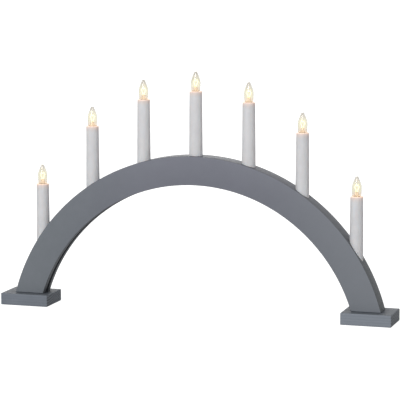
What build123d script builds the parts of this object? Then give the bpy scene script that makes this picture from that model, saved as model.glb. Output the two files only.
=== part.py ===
# Electric candle arch: a flat, painted wooden arch on two wooden feet, with seven candle
# tubes that each hold a small screw-in lamp. The lamps are wired in series, and their
# wires run in a groove that is milled along the underside of the arch.
#
# Millimetres. +Z is up, +X runs along the arch to the right, and -Y is the front.
# The origin is on the table, midway between the two feet.

import os
from math import atan2, cos, degrees, hypot, sin, sqrt

from build123d import *

# Arch board: a flat ring, cut off level where it stands on the feet
arch_outer_radius = 300.0
arch_width = 43.5
arch_depth = 30.0
arch_centre_drop = 60.5
arch_edge_chamfer = 0.8
groove_width = 9.5
groove_depth = 12.0
cord_inlet_diameter = 6.0
cord_inlet_height = 30.0

# Feet
foot_length = 76.5
foot_depth = 60.0
foot_height = 18.0
foot_overhang = 18.5
foot_edge_radius = 1.0

# Screws that come up through each foot into the end of the arch
screw_length = 35.0
screw_diameter = 3.6
screw_head_diameter = 7.2
screw_tip_length = 5.0
screw_sink = 0.6
screw_spacing = 14.0
screw_clearance = 0.1
screw_recess_width = 1.0
screw_recess_length = 4.0
screw_recess_depth = 1.4

# Candle tubes: how deep each one sits in the arch, from the middle one outwards, and
# how far the axes of the outer two are inside the arch's radius
candle_count = 7
outer_candle_inset = 51.9
middle_seat_depth = 18.1
second_seat_depth = 20.8
third_seat_depth = 25.5
outer_seat_depth = 35.5
tube_length = 115.0
tube_top_diameter = 19.0
tube_foot_diameter = 20.8
tube_wall = 1.2
tube_rim_wall = 0.8
tube_rim_chamfer = 0.25
tube_clearance = 0.2
tube_ledge_height = 3.5
wire_hole_diameter = 9.0

# Lampholder, hung by its flange in the top of the tube
holder_flange_thickness = 1.2
holder_flange_recess = 0.3
holder_clearance = 0.1
holder_ledge_width = 0.8
holder_length = 26.0
holder_mouth_radius = 6.9
holder_mouth_depth = 3.0
holder_socket_depth = 14.5
holder_slot_length = 7.0
holder_slot_depth = 7.0
shell_clearance = 0.05
shell_wall = 0.3
shell_drop = 2.5
tongue_width = 3.0
tongue_thickness = 0.4
tongue_foot_length = 2.2
tongue_pad_length = 3.2
tongue_gap = 0.05

# Lamp with a 10 mm screw cap, whose heights are taken from the top of the tube
glass_height = 30.2
glass_radius = 7.35
glass_wall = 0.6
glass_neck_bottom = 3.0
glass_floor_thickness = 0.8
glass_tip_thickness = 1.6
cap_diameter = 9.5
cap_wall = 0.3
cap_top_drop = 1.2
cap_length = 9.3
cap_lip = 1.45
cap_clearance = 0.05
insulator_height = 1.3
insulator_hole_radius = 0.8
button_radius = 1.9
button_height = 1.2
button_edge_chamfer = 0.4
stem_foot_radius = 2.4
stem_top_radius = 1.8
stem_height = 7.0
exhaust_radius = 0.5
filament_diameter = 0.5
filament_bend_radius = 0.6
filament_span = 6.4
filament_rise = 10.5
lead_in_spacing = 2.2

# Wires in the groove, and the clips that keep them there
wire_diameter = 2.0
wire_side_spacing = 4.0
wire_row_spacing = 4.2
wire_bend_radius = 4.0
wire_slot_clearance = 0.2
wire_end_clearance = 0.5
clip_length = 6.0
clip_lip = 1.4
clip_clearance = 0.05

# How far a cut runs past the surface that it opens
overrun = 1.0

# Outline of the lamp's glass from neck to tip, at its neck, belly, shoulder and tip edge:
# shares of its height above the tube and of its radius
glass_outline_shares = ((0.035, 0.88), (0.42, 1.0), (0.72, 0.69), (0.97, 0.14))

# Outline of the filament: shares of half its span and of its rise above the stem
filament_lead_in_share = 0.16
filament_shoulder_shares = ((1.0, 0.62), (0.52, 1.0))
filament_dip_share = 0.72

arch_inner_radius = arch_outer_radius - arch_width
groove_ceiling_radius = arch_inner_radius + groove_depth
wire_route_radius = arch_inner_radius + groove_depth / 2
wire_end_height = cord_inlet_height + cord_inlet_diameter / 2 + wire_end_clearance
tube_top_radius = tube_top_diameter / 2
tube_foot_radius = tube_foot_diameter / 2
rim_radius = tube_top_radius - tube_rim_wall
ledge_radius = rim_radius - holder_ledge_width
flange_seat = holder_flange_thickness + holder_flange_recess
cap_radius = cap_diameter / 2
shell_inner_radius = cap_radius + cap_clearance
shell_outer_radius = shell_inner_radius + shell_wall
neck_radius = cap_radius - cap_wall - cap_clearance
cap_bottom_drop = cap_top_drop + cap_length
insulator_bottom_drop = cap_bottom_drop + insulator_height
button_bottom_drop = insulator_bottom_drop + button_height
seat_depths = (middle_seat_depth, second_seat_depth, third_seat_depth, outer_seat_depth)
middle_candle = candle_count // 2
candle_pitch = (arch_outer_radius - outer_candle_inset) / middle_candle


def circle_height(radius, x):
    """Height above the table of a circle about the arch's centre."""
    return sqrt(radius**2 - x**2) - arch_centre_drop


def circle_x(radius, height):
    """How far out a circle about the arch's centre is at a height above the table."""
    return sqrt(radius**2 - (height + arch_centre_drop) ** 2)


def candle_x(index):
    """Distance of a candle's axis from the middle of the arch."""
    return (index - middle_candle) * candle_pitch


def tube_seat(index):
    """Height of the foot of a candle tube above the table."""
    step = min(abs(index - middle_candle), len(seat_depths) - 1)
    return circle_height(arch_outer_radius, candle_x(index)) - seat_depths[step]


def tube_top(index):
    """Height of the top of a candle tube above the table."""
    return tube_seat(index) + tube_length


def front_plane(x, z):
    """A plane seen from the front, with its origin on a candle's axis."""
    return Plane(origin=(x, 0, z), x_dir=(1, 0, 0), z_dir=(0, -1, 0))


def candle_axis(x):
    """The vertical axis of a candle."""
    return Axis((x, 0, 0), (0, 0, 1))


def foot_middle(side):
    """Where a foot stands: -1 is the left foot and 1 the right."""
    arch_end = circle_x(arch_outer_radius, foot_height)
    return side * (arch_end + foot_overhang - foot_length / 2)


def screw_places(side):
    """The two screws of one foot, about midway between the groove and the arch's rim."""
    tip_height = screw_sink + screw_length
    groove = circle_x(groove_ceiling_radius, tip_height)
    rim = circle_x(arch_outer_radius, tip_height)
    middle = side * (groove + rim) / 2
    return [(middle - screw_spacing / 2, 0), (middle + screw_spacing / 2, 0)]


# Arch board
def make_arch():
    with BuildPart() as arch:
        with BuildSketch(Plane.XZ):
            with Locations((0, -arch_centre_drop)):
                Circle(arch_outer_radius)
                Circle(arch_inner_radius, mode=Mode.SUBTRACT)
            with Locations((0, foot_height)):
                Rectangle(
                    2 * arch_outer_radius,
                    arch_outer_radius,
                    align=(Align.CENTER, Align.MIN),
                    mode=Mode.INTERSECT,
                )
        extrude(amount=arch_depth / 2, both=True)
        chamfer(arch.edges().filter_by(GeomType.CIRCLE), arch_edge_chamfer)
        with BuildSketch(Plane.XZ):
            with Locations((0, -arch_centre_drop)):
                Circle(groove_ceiling_radius)
                Circle(arch_inner_radius - overrun, mode=Mode.SUBTRACT)
        extrude(amount=groove_width / 2, both=True, mode=Mode.SUBTRACT)
        for index in range(candle_count):
            x = candle_x(index)
            seat = tube_seat(index)
            hole_side = abs(x) + wire_hole_diameter / 2
            hole_foot = circle_height(groove_ceiling_radius, hole_side) - overrun
            with Locations((x, 0, seat)):
                Cylinder(
                    tube_foot_radius + tube_clearance,
                    tube_length,
                    align=(Align.CENTER, Align.CENTER, Align.MIN),
                    mode=Mode.SUBTRACT,
                )
                Cylinder(
                    wire_hole_diameter / 2,
                    seat - hole_foot,
                    align=(Align.CENTER, Align.CENTER, Align.MAX),
                    mode=Mode.SUBTRACT,
                )
        for side in (-1, 1):
            with Locations(Plane.XY.offset(foot_height)):
                with Locations(*screw_places(side)):
                    Cylinder(
                        screw_diameter / 2 + screw_clearance,
                        screw_sink + screw_length + screw_clearance - foot_height,
                        align=(Align.CENTER, Align.CENTER, Align.MIN),
                        mode=Mode.SUBTRACT,
                    )
        inlet_x = circle_x(wire_route_radius, cord_inlet_height)
        with BuildSketch(Plane.XZ.offset(-arch_depth / 2)):
            with Locations((inlet_x, cord_inlet_height)):
                Circle(cord_inlet_diameter / 2)
        extrude(amount=arch_depth / 2, mode=Mode.SUBTRACT)
    arch.part.label = "arch"
    export_step(arch.part, "parts/arch.step")


# Feet, drilled and countersunk from below
def make_foot(side, name):
    with BuildPart() as foot:
        with BuildSketch():
            with Locations((foot_middle(side), 0)):
                Rectangle(foot_length, foot_depth)
        extrude(amount=foot_height)
        fillet(foot.edges(), foot_edge_radius)
        underside = Plane(origin=(0, 0, screw_sink), x_dir=(-1, 0, 0), z_dir=(0, 0, -1))
        with Locations(underside):
            with Locations(*screw_places(-side)):
                CounterSinkHole(
                    screw_diameter / 2 + screw_clearance,
                    screw_head_diameter / 2 + screw_clearance,
                    counter_sink_angle=90,
                )
    foot.part.label = name
    export_step(foot.part, f"parts/{name}.step")


# Countersunk wood screws with a cross recess
def make_screws():
    shank = screw_diameter / 2
    head = screw_head_diameter / 2
    with BuildPart() as screws:
        for side in (-1, 1):
            for x, _ in screw_places(side):
                with BuildSketch(front_plane(x, screw_sink)):
                    with BuildLine():
                        Polyline(
                            (0, 0),
                            (head, 0),
                            (shank, head - shank),
                            (shank, screw_length - screw_tip_length),
                            (0, screw_length),
                            close=True,
                        )
                    make_face()
                revolve(axis=candle_axis(x))
                with BuildSketch(Plane.XY.offset(screw_sink)):
                    with Locations((x, 0)):
                        Rectangle(screw_recess_length, screw_recess_width)
                        Rectangle(screw_recess_width, screw_recess_length)
                extrude(amount=screw_recess_depth, mode=Mode.SUBTRACT)
    screws.part.label = "foot_screws"
    export_step(screws.part, "parts/foot_screws.step")


# Candle tube: a slightly tapered shell with a ledge for the lampholder
def make_tube(index):
    x = candle_x(index)
    slope = (tube_foot_radius - tube_top_radius) / tube_length
    ledge_foot = flange_seat + tube_ledge_height
    with BuildPart() as tube:
        with BuildSketch(front_plane(x, tube_top(index))):
            with BuildLine():
                Polyline(
                    (rim_radius, 0),
                    (tube_top_radius, 0),
                    (tube_foot_radius, -tube_length),
                    (tube_foot_radius - tube_wall, -tube_length),
                    (tube_top_radius + slope * ledge_foot - tube_wall, -ledge_foot),
                    (ledge_radius, -ledge_foot),
                    (ledge_radius, -flange_seat),
                    (rim_radius, -flange_seat),
                    close=True,
                )
            make_face()
        revolve(axis=candle_axis(x))
        chamfer(tube.edges().group_by(Axis.Z)[-1], tube_rim_chamfer)
    tube.part.label = f"candle_tube_{index + 1}"
    export_step(tube.part, f"parts/{tube.part.label}.step")


# Lampholder: a flanged plug with a screw socket above and two wire slots below
def make_holder(index):
    x = candle_x(index)
    top = tube_top(index)
    body_radius = ledge_radius - holder_clearance
    flange_radius = rim_radius - holder_clearance
    socket_radius = shell_outer_radius + shell_clearance
    slot_width = wire_diameter + 2 * wire_slot_clearance
    with BuildPart() as holder:
        with BuildSketch(front_plane(x, top)):
            with BuildLine():
                Polyline(
                    (0, -holder_length),
                    (body_radius, -holder_length),
                    (body_radius, -flange_seat),
                    (flange_radius, -flange_seat),
                    (flange_radius, -holder_flange_recess),
                    (holder_mouth_radius, -holder_flange_recess),
                    (socket_radius, -holder_mouth_depth),
                    (socket_radius, -holder_socket_depth),
                    (0, -holder_socket_depth),
                    close=True,
                )
            make_face()
        revolve(axis=candle_axis(x))
        with BuildSketch(Plane.XY.offset(top - holder_length)):
            with Locations((x - wire_side_spacing / 2, 0), (x + wire_side_spacing / 2, 0)):
                SlotOverall(holder_slot_length, slot_width, rotation=90)
        extrude(amount=holder_slot_depth, mode=Mode.SUBTRACT)
    holder.part.label = f"lampholder_{index + 1}"
    export_step(holder.part, f"parts/{holder.part.label}.step")


# Brass shells that line the lampholders' sockets
def make_shells():
    with BuildPart() as shells:
        for index in range(candle_count):
            with BuildSketch(Plane.XY.offset(tube_top(index) - holder_socket_depth)):
                with Locations((candle_x(index), 0)):
                    Circle(shell_outer_radius)
                    Circle(shell_inner_radius, mode=Mode.SUBTRACT)
            extrude(amount=holder_socket_depth - shell_drop)
    shells.part.label = "screw_shells"
    export_step(shells.part, "parts/screw_shells.step")


# Bent brass tongues on the floors of the sockets, under the lamps
def make_tongues():
    rise = holder_socket_depth - button_bottom_drop - tongue_gap
    left = -tongue_pad_length / 2
    right = tongue_pad_length / 2
    with BuildPart() as tongues:
        for index in range(candle_count):
            floor = tube_top(index) - holder_socket_depth
            with BuildSketch(front_plane(candle_x(index), floor)):
                with BuildLine():
                    Polyline(
                        (left - tongue_foot_length / 2, 0),
                        (left, 0),
                        (left + tongue_thickness, rise - tongue_thickness),
                        (right, rise - tongue_thickness),
                        (right, rise),
                        (left, rise),
                        (left - tongue_thickness, tongue_thickness),
                        (left - tongue_foot_length / 2, tongue_thickness),
                        close=True,
                    )
                make_face()
            extrude(amount=tongue_width / 2, both=True)
    tongues.part.label = "contact_tongues"
    export_step(tongues.part, "parts/contact_tongues.step")


# Glass of a lamp: a blown flame, closed below by the stem that carries the filament
def make_glass(index):
    x = candle_x(index)
    floor = glass_floor_thickness - glass_neck_bottom
    inside = neck_radius - glass_wall
    outline = [(r * glass_radius, h * glass_height) for h, r in glass_outline_shares]
    neck, belly, shoulder, tip_edge = outline
    inner_neck, inner_belly, inner_shoulder = [(r - glass_wall, z) for r, z in outline[:3]]
    tip = (0, glass_height)
    inner_tip = (0, glass_height - glass_tip_thickness)
    with BuildPart() as glass:
        with BuildSketch(front_plane(x, tube_top(index))):
            with BuildLine():
                TangentArc(belly, neck, tangent=(0, -1))
                TangentArc(belly, shoulder, tangent=(0, 1))
                Line(shoulder, tip_edge)
                TangentArc(tip, tip_edge, tangent=(1, 0))
                Polyline(tip, inner_tip, inner_shoulder)
                TangentArc(inner_belly, inner_shoulder, tangent=(0, 1))
                TangentArc(inner_belly, inner_neck, tangent=(0, -1))
                Polyline(
                    inner_neck,
                    (inside, -cap_top_drop),
                    (inside, floor),
                    (stem_foot_radius, floor),
                    (stem_top_radius, stem_height),
                    (exhaust_radius, stem_height),
                    (exhaust_radius, -glass_neck_bottom),
                    (neck_radius, -glass_neck_bottom),
                    (neck_radius, -cap_top_drop),
                    neck,
                )
            make_face()
        revolve(axis=candle_axis(x))
    glass.part.label = f"lamp_glass_{index + 1}"
    export_step(glass.part, f"parts/{glass.part.label}.step")


# Cap of a lamp: a thin brass shell with a lip turned in at the bottom
def make_cap(index):
    x = candle_x(index)
    lip_top = cap_wall - cap_bottom_drop
    throat = cap_radius - cap_wall - cap_lip
    with BuildPart() as cap:
        with BuildSketch(front_plane(x, tube_top(index))):
            with BuildLine():
                Polyline(
                    (cap_radius, -cap_top_drop),
                    (cap_radius, -cap_bottom_drop),
                    (throat, -cap_bottom_drop),
                    (throat, lip_top),
                    (cap_radius - cap_wall, lip_top),
                    (cap_radius - cap_wall, -cap_top_drop),
                    close=True,
                )
            make_face()
        revolve(axis=candle_axis(x))
    cap.part.label = f"lamp_cap_{index + 1}"
    export_step(cap.part, f"parts/{cap.part.label}.step")


# Contact of a lamp: a black glass insulator in the cap's throat, and the solder button
# that comes through it
def make_contact(index):
    x = candle_x(index)
    insulator_top = cap_wall - cap_bottom_drop
    throat = cap_radius - cap_wall - cap_lip - cap_clearance
    shank_radius = insulator_hole_radius - cap_clearance
    button_top = -insulator_bottom_drop - cap_clearance
    with BuildPart() as contact:
        with BuildSketch(front_plane(x, tube_top(index))):
            with BuildLine():
                Polyline(
                    (insulator_hole_radius, insulator_top),
                    (throat, insulator_top),
                    (throat, -cap_bottom_drop - cap_clearance),
                    (button_radius, -insulator_bottom_drop),
                    (insulator_hole_radius, -insulator_bottom_drop),
                    close=True,
                )
            make_face()
            with BuildLine():
                Polyline(
                    (0, insulator_top),
                    (shank_radius, insulator_top),
                    (shank_radius, button_top),
                    (button_radius, button_top),
                    (button_radius, -button_bottom_drop),
                    (0, -button_bottom_drop),
                    close=True,
                )
            make_face()
        revolve(axis=candle_axis(x))
        chamfer(contact.edges().group_by(Axis.Z)[0], button_edge_chamfer)
    contact.part.label = f"lamp_contact_{index + 1}"
    export_step(contact.part, f"parts/{contact.part.label}.step")


# Filament of a lamp with its two lead-in wires, standing on the glass stem
def make_filament(index):
    half_span = filament_span / 2
    lead_in = lead_in_spacing / 2
    right = [(lead_in, 0), (lead_in, filament_lead_in_share * filament_rise)]
    right += [(a * half_span, b * filament_rise) for a, b in filament_shoulder_shares]
    left = [(-x, z) for x, z in right]
    dip = (0, filament_dip_share * filament_rise)
    stem_top = front_plane(candle_x(index), tube_top(index) + stem_height)
    with BuildPart() as filament:
        with BuildLine(stem_top) as route:
            FilletPolyline(*left, dip, *right[::-1], radius=filament_bend_radius)
        with BuildSketch(Plane(origin=route.line @ 0, z_dir=route.line % 0)):
            Circle(filament_diameter / 2)
        sweep()
    filament.part.label = f"lamp_filament_{index + 1}"
    export_step(filament.part, f"parts/{filament.part.label}.step")


def bend_points(x, side):
    """Where a wire that comes down a candle's hole turns into the groove: the start,
    middle and end of the bend, with the groove running on to the given side."""
    reach = wire_route_radius + wire_bend_radius
    centre_x = x + side * wire_bend_radius
    centre_rise = sqrt(reach**2 - centre_x**2)
    inward_x = -centre_x / reach
    inward_z = -centre_rise / reach
    middle_size = hypot(inward_x - side, inward_z)
    centre_z = centre_rise - arch_centre_drop
    start = (x, centre_z)
    middle = (
        centre_x + wire_bend_radius * (inward_x - side) / middle_size,
        centre_z + wire_bend_radius * inward_z / middle_size,
    )
    end = (centre_x + wire_bend_radius * inward_x, centre_z + wire_bend_radius * inward_z)
    return start, middle, end


def route_angle(point):
    """Angle of a point about the arch's centre, from straight up."""
    return atan2(point[0], point[1] + arch_centre_drop)


def route_middle(start, end):
    """The point of the groove's wire route that is midway between two others."""
    angle = (route_angle(start) + route_angle(end)) / 2
    return (
        wire_route_radius * sin(angle),
        wire_route_radius * cos(angle) - arch_centre_drop,
    )


def wire_top(index):
    """Height at which the wires of a candle end in its lampholder."""
    return tube_top(index) - holder_length + holder_slot_depth


# Link wire: from one lampholder to the next, in the front row of the groove
def make_link(index):
    left = candle_x(index) + wire_side_spacing / 2
    right = candle_x(index + 1) - wire_side_spacing / 2
    down = bend_points(left, 1)
    up = bend_points(right, -1)
    front_row = Plane.XZ.offset(wire_row_spacing / 2)
    with BuildPart() as link:
        with BuildLine(front_row) as route:
            Line((left, wire_top(index)), down[0])
            ThreePointArc(*down)
            ThreePointArc(down[2], route_middle(down[2], up[2]), up[2])
            ThreePointArc(*up[::-1])
            Line(up[0], (right, wire_top(index + 1)))
        with BuildSketch(Plane(origin=route.line @ 0, z_dir=route.line % 0)):
            Circle(wire_diameter / 2)
        sweep()
    link.part.label = f"link_wire_{index + 1}"
    export_step(link.part, f"parts/{link.part.label}.step")


# Lead wire: from the last lampholder straight down to the cord inlet
def make_lead():
    last = candle_count - 1
    x = candle_x(last) + wire_side_spacing / 2
    with BuildPart() as lead:
        with BuildSketch(Plane.XY.offset(wire_end_height)):
            with Locations((x, -wire_row_spacing / 2)):
                Circle(wire_diameter / 2)
        extrude(amount=wire_top(last) - wire_end_height)
    lead.part.label = "lead_wire"
    export_step(lead.part, "parts/lead_wire.step")


# Return wire: from the first lampholder back through the whole groove to the inlet
def make_return():
    x = candle_x(0) - wire_side_spacing / 2
    down = bend_points(x, 1)
    end = (circle_x(wire_route_radius, wire_end_height), wire_end_height)
    rear_row = Plane.XZ.offset(-wire_row_spacing / 2)
    with BuildPart() as back:
        with BuildLine(rear_row) as route:
            Line((x, wire_top(0)), down[0])
            ThreePointArc(*down)
            ThreePointArc(down[2], route_middle(down[2], end), end)
        with BuildSketch(Plane(origin=route.line @ 0, z_dir=route.line % 0)):
            Circle(wire_diameter / 2)
        sweep()
    back.part.label = "return_wire"
    export_step(back.part, "parts/return_wire.step")


# Clips pressed into the groove between the candles
def make_clips():
    arch_axis = Axis((0, 0, -arch_centre_drop), (0, 1, 0))
    inner = wire_route_radius - wire_diameter / 2 - clip_lip
    outer = groove_ceiling_radius - clip_clearance
    clip_angle = clip_length / wire_route_radius
    with BuildPart() as clips:
        for index in range(candle_count - 1):
            left = bend_points(candle_x(index) + wire_side_spacing / 2, 1)[2]
            right = bend_points(candle_x(index + 1) - wire_side_spacing / 2, -1)[2]
            start = route_angle(route_middle(left, right)) - clip_angle / 2
            section = Plane(
                origin=(0, 0, -arch_centre_drop),
                x_dir=(sin(start), 0, cos(start)),
                z_dir=(cos(start), 0, -sin(start)),
            )
            with BuildSketch(section):
                with Locations(((inner + outer) / 2, 0)):
                    Rectangle(outer - inner, groove_width - 2 * clip_clearance)
                with Locations((wire_route_radius, 0)):
                    with GridLocations(0, wire_row_spacing, 1, 2):
                        Circle(wire_diameter / 2 + clip_clearance, mode=Mode.SUBTRACT)
            revolve(axis=arch_axis, revolution_arc=degrees(clip_angle))
    clips.part.label = "wire_clips"
    export_step(clips.part, "parts/wire_clips.step")


os.makedirs("parts", exist_ok=True)
make_arch()
make_foot(-1, "foot_left")
make_foot(1, "foot_right")
make_screws()
for candle in range(candle_count):
    make_tube(candle)
    make_holder(candle)
    make_glass(candle)
    make_cap(candle)
    make_contact(candle)
    make_filament(candle)
make_shells()
make_tongues()
for gap in range(candle_count - 1):
    make_link(gap)
make_lead()
make_return()
make_clips()
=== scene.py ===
# %% [markdown]
# A lit candle arch: seven electric candles on a painted wooden bow. The construction
# comes from a CAD model, whose pieces already stand at their real size and place.
# Blender gives them their looks, and rebuilds the pieces whose curves show most.
# All lengths are metres, because the CAD frame is in metres.

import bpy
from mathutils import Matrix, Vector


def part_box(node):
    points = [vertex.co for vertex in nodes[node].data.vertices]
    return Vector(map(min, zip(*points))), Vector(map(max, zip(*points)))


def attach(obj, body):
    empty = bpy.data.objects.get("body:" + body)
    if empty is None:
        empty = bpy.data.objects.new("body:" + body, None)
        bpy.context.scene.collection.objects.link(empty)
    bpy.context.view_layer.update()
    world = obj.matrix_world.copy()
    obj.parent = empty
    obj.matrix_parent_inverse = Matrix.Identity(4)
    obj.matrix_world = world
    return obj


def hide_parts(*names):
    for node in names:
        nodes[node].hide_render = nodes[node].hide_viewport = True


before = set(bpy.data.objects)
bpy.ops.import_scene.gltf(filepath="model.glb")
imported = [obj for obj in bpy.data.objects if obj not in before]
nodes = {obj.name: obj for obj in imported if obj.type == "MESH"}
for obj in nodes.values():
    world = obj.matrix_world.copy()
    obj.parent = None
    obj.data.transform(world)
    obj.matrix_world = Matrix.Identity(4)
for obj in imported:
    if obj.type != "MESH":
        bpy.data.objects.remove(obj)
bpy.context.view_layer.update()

# %% Modules and units
from math import cos, pi, radians, sin, sqrt

import bmesh
import bpy
from mathutils import Matrix, Vector
from mathutils.geometry import interpolate_bezier

MM = 0.001
scene = bpy.context.scene
print("One millimetre is", MM, "of a Blender unit")

# %% [markdown]
# The camera comes first. Its place and turn were worked out from the photograph by
# matching the rim of the bow and the corners of the feet, so the render can be compared
# with it point by point. It has a long lens, and stands a little to the right and above.

# %% Camera
CAMERA_PLACE = Vector((0.932344, -2.897204, 0.595477))
CAMERA_YAW = 0.309348
CAMERA_PITCH = 0.138277
CAMERA_ROLL = -0.00157
SENSOR_WIDTH = 36.0
FOCAL_LENGTH = 183.59
FARTHEST_SEEN = 50


def camera_matrix():
    """Where the camera stands and how it is turned, as one matrix."""
    ahead = Vector(
        (
            -sin(CAMERA_YAW) * cos(CAMERA_PITCH),
            cos(CAMERA_YAW) * cos(CAMERA_PITCH),
            -sin(CAMERA_PITCH),
        )
    )
    level = Vector((cos(CAMERA_YAW), sin(CAMERA_YAW), 0))
    upright = level.cross(ahead)
    right = cos(CAMERA_ROLL) * level + sin(CAMERA_ROLL) * upright
    up = cos(CAMERA_ROLL) * upright - sin(CAMERA_ROLL) * level
    turn = Matrix((right, up, -ahead)).transposed().to_4x4()
    return Matrix.Translation(CAMERA_PLACE) @ turn


camera_data = bpy.data.cameras.new("camera")
camera_data.sensor_width = SENSOR_WIDTH
camera_data.lens = FOCAL_LENGTH
camera_data.clip_end = FARTHEST_SEEN
camera = bpy.data.objects.new("camera", camera_data)
scene.collection.objects.link(camera)
camera.matrix_world = camera_matrix()
scene.camera = camera
print("Camera height:", round(camera.location.z, 3))

# %% [markdown]
# A few small helpers carry all the modelling. An operator acts on everything that is
# selected, and the CAD pieces are all selected when they arrive. So the first helpers
# clear the selection, or take one piece in hand.

# %% Selection helpers


def clear_selection():
    """Leaves nothing selected, so that the next operator acts on its own piece alone."""
    bpy.ops.object.select_all(action="DESELECT")


def take(piece):
    """Makes one piece the only selected and the active one."""
    clear_selection()
    piece.select_set(True)
    bpy.context.view_layer.objects.active = piece


def name_new(name):
    """Names the piece that an operator has just added."""
    piece = bpy.context.object
    piece.name = name
    piece.data.name = name
    return piece


clear_selection()
print("Pieces still selected:", len(bpy.context.selected_objects))

# %% [markdown]
# Shapes start as outlines. An outline is drawn by extruding a single vertex from point
# to point, as one clicks it out by hand, and each of its curved runs is a curve with two
# handles. Round pieces are then spun from it, as on a lathe. In edit mode, parts of a
# mesh are selected by where they are, because a script can't click on them.

# %% Drawing helpers
WELD_DISTANCE = MM / 200


def draw_outline(name, points, closed=False):
    """Extrudes one vertex from point to point, and leaves the piece in edit mode."""
    clear_selection()
    bpy.ops.mesh.primitive_plane_add(size=MM, location=points[0])
    piece = name_new(name)
    bpy.ops.object.transform_apply(location=True, rotation=True, scale=True)
    bpy.ops.object.mode_set(mode="EDIT")
    bpy.ops.mesh.select_mode(type="VERT")
    bpy.ops.mesh.merge(type="CENTER")
    for here, there in zip(points, points[1:]):
        step = Vector(there) - Vector(here)
        bpy.ops.mesh.extrude_region_move(TRANSFORM_OT_translate={"value": step})
    if closed:
        bpy.ops.mesh.select_all(action="SELECT")
        bpy.ops.mesh.edge_face_add()
        bpy.ops.mesh.delete(type="ONLY_FACE")
    bpy.ops.mesh.select_all(action="SELECT")
    return piece


def bend_points(start, start_handle, end_handle, end, count):
    """Points along a curve between two (radius, height) points with two handles."""
    corners = [Vector((r, z, 0)) for r, z in (start, start_handle, end_handle, end)]
    return [(point.x, point.y) for point in interpolate_bezier(*corners, count)]


def turn_on_lathe(name, outline, steps):
    """Draws an outline of (radius, height) points beside the Z axis and spins it round."""
    piece = draw_outline(name, [(radius, 0, height) for radius, height in outline])
    bpy.ops.mesh.spin(steps=steps, angle=2 * pi, center=(0, 0, 0), axis=(0, 0, 1))
    bpy.ops.mesh.select_all(action="SELECT")
    bpy.ops.mesh.remove_doubles(threshold=WELD_DISTANCE)
    bpy.ops.mesh.normals_make_consistent(inside=False)
    bpy.ops.object.mode_set(mode="OBJECT")
    return piece


def pick(piece, kind, test):
    """In edit mode, selects the vertices, edges or faces whose middle passes a test."""
    bpy.ops.mesh.select_mode(type=kind)
    bpy.ops.mesh.select_all(action="DESELECT")
    mesh = bmesh.from_edit_mesh(piece.data)
    parts = {"VERT": mesh.verts, "EDGE": mesh.edges, "FACE": mesh.faces}[kind]
    for part in parts:
        corners = [part] if kind == "VERT" else part.verts
        middle = sum((corner.co for corner in corners), Vector()) / len(corners)
        part.select_set(bool(test(middle)))
    mesh.select_flush_mode()
    bmesh.update_edit_mesh(piece.data)


print("Drawing helpers ready, weld distance:", WELD_DISTANCE)

# %% [markdown]
# Modifiers finish a piece. Each one is applied at once, so what is mirrored, drilled or
# given a wall is plain mesh again. Shading is smooth over soft bends only, so that rims
# and corners stay crisp.

# %% Finishing helpers
SOFT_BEND = 30


def add_modifier(piece, kind, **values):
    """Adds a modifier with these settings and applies it."""
    take(piece)
    bpy.ops.object.modifier_add(type=kind)
    modifier = piece.modifiers[-1]
    for key, value in values.items():
        setattr(modifier, key, value)
    bpy.ops.object.modifier_apply(modifier=modifier.name)


def smooth(piece, angle=SOFT_BEND):
    """Shades a piece smooth, but keeps creases sharper than an angle in degrees."""
    take(piece)
    bpy.ops.object.shade_smooth_by_angle(angle=radians(angle))


print("Bends are smooth up to", SOFT_BEND, "degrees")

# %% [markdown]
# Finishes are procedural. Each is a small tree of nodes that reads Object coordinates,
# so a pattern has a real size in metres and stays put when the object is seen from
# another side. Short helpers add a node and wire it, which keeps each finish to what
# makes it different.

# %% Node helpers
MIX_SHARE, MIX_FIRST, MIX_SECOND, MIX_COLOUR = 0, 6, 7, 2


class Tree:
    """A tree of nodes, and short ways to add to it and join it up."""

    def __init__(self, tree):
        self.tree = tree

    def add(self, kind, inputs=None, **settings):
        """A new node with settings, and inputs that are values or other nodes' outputs."""
        node = self.tree.nodes.new(kind)
        for key, value in settings.items():
            setattr(node, key, value)
        for key, value in (inputs or {}).items():
            self.feed(node.inputs[key], value)
        return node

    def feed(self, socket, value):
        """Sets a socket, or links it where the value is another node's output."""
        if isinstance(value, bpy.types.NodeSocket):
            self.tree.links.new(value, socket)
        else:
            socket.default_value = value

    def ramp(self, source, low, high, start=0.0, end=1.0):
        """Runs softly from start to end, as its source goes from low to high."""
        limits = {"From Min": low, "From Max": high, "To Min": start, "To Max": end}
        node = self.add("ShaderNodeMapRange", limits, interpolation_type="SMOOTHSTEP")
        self.feed(node.inputs["Value"], source)
        return node.outputs["Result"]

    def blend(self, share, first, second):
        """A colour between two others, by a share that goes from 0 to 1."""
        inputs = {MIX_SHARE: share, MIX_FIRST: first, MIX_SECOND: second}
        return self.add("ShaderNodeMix", inputs, data_type="RGBA").outputs[MIX_COLOUR]

    def arithmetic(self, kind, first, second=0.0):
        """One step of arithmetic on values."""
        return self.add("ShaderNodeMath", {0: first, 1: second}, operation=kind).outputs[0]

    def plus(self, first, second):
        return self.arithmetic("ADD", first, second)

    def minus(self, first, second):
        return self.arithmetic("SUBTRACT", first, second)

    def times(self, first, second):
        return self.arithmetic("MULTIPLY", first, second)

    def larger(self, first, second):
        return self.arithmetic("MAXIMUM", first, second)

    def size_of(self, value):
        return self.arithmetic("ABSOLUTE", value)


print("Node helpers ready")

# %% Finish helpers
NOISE_LOW, NOISE_HIGH = 0.3, 0.7


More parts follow.
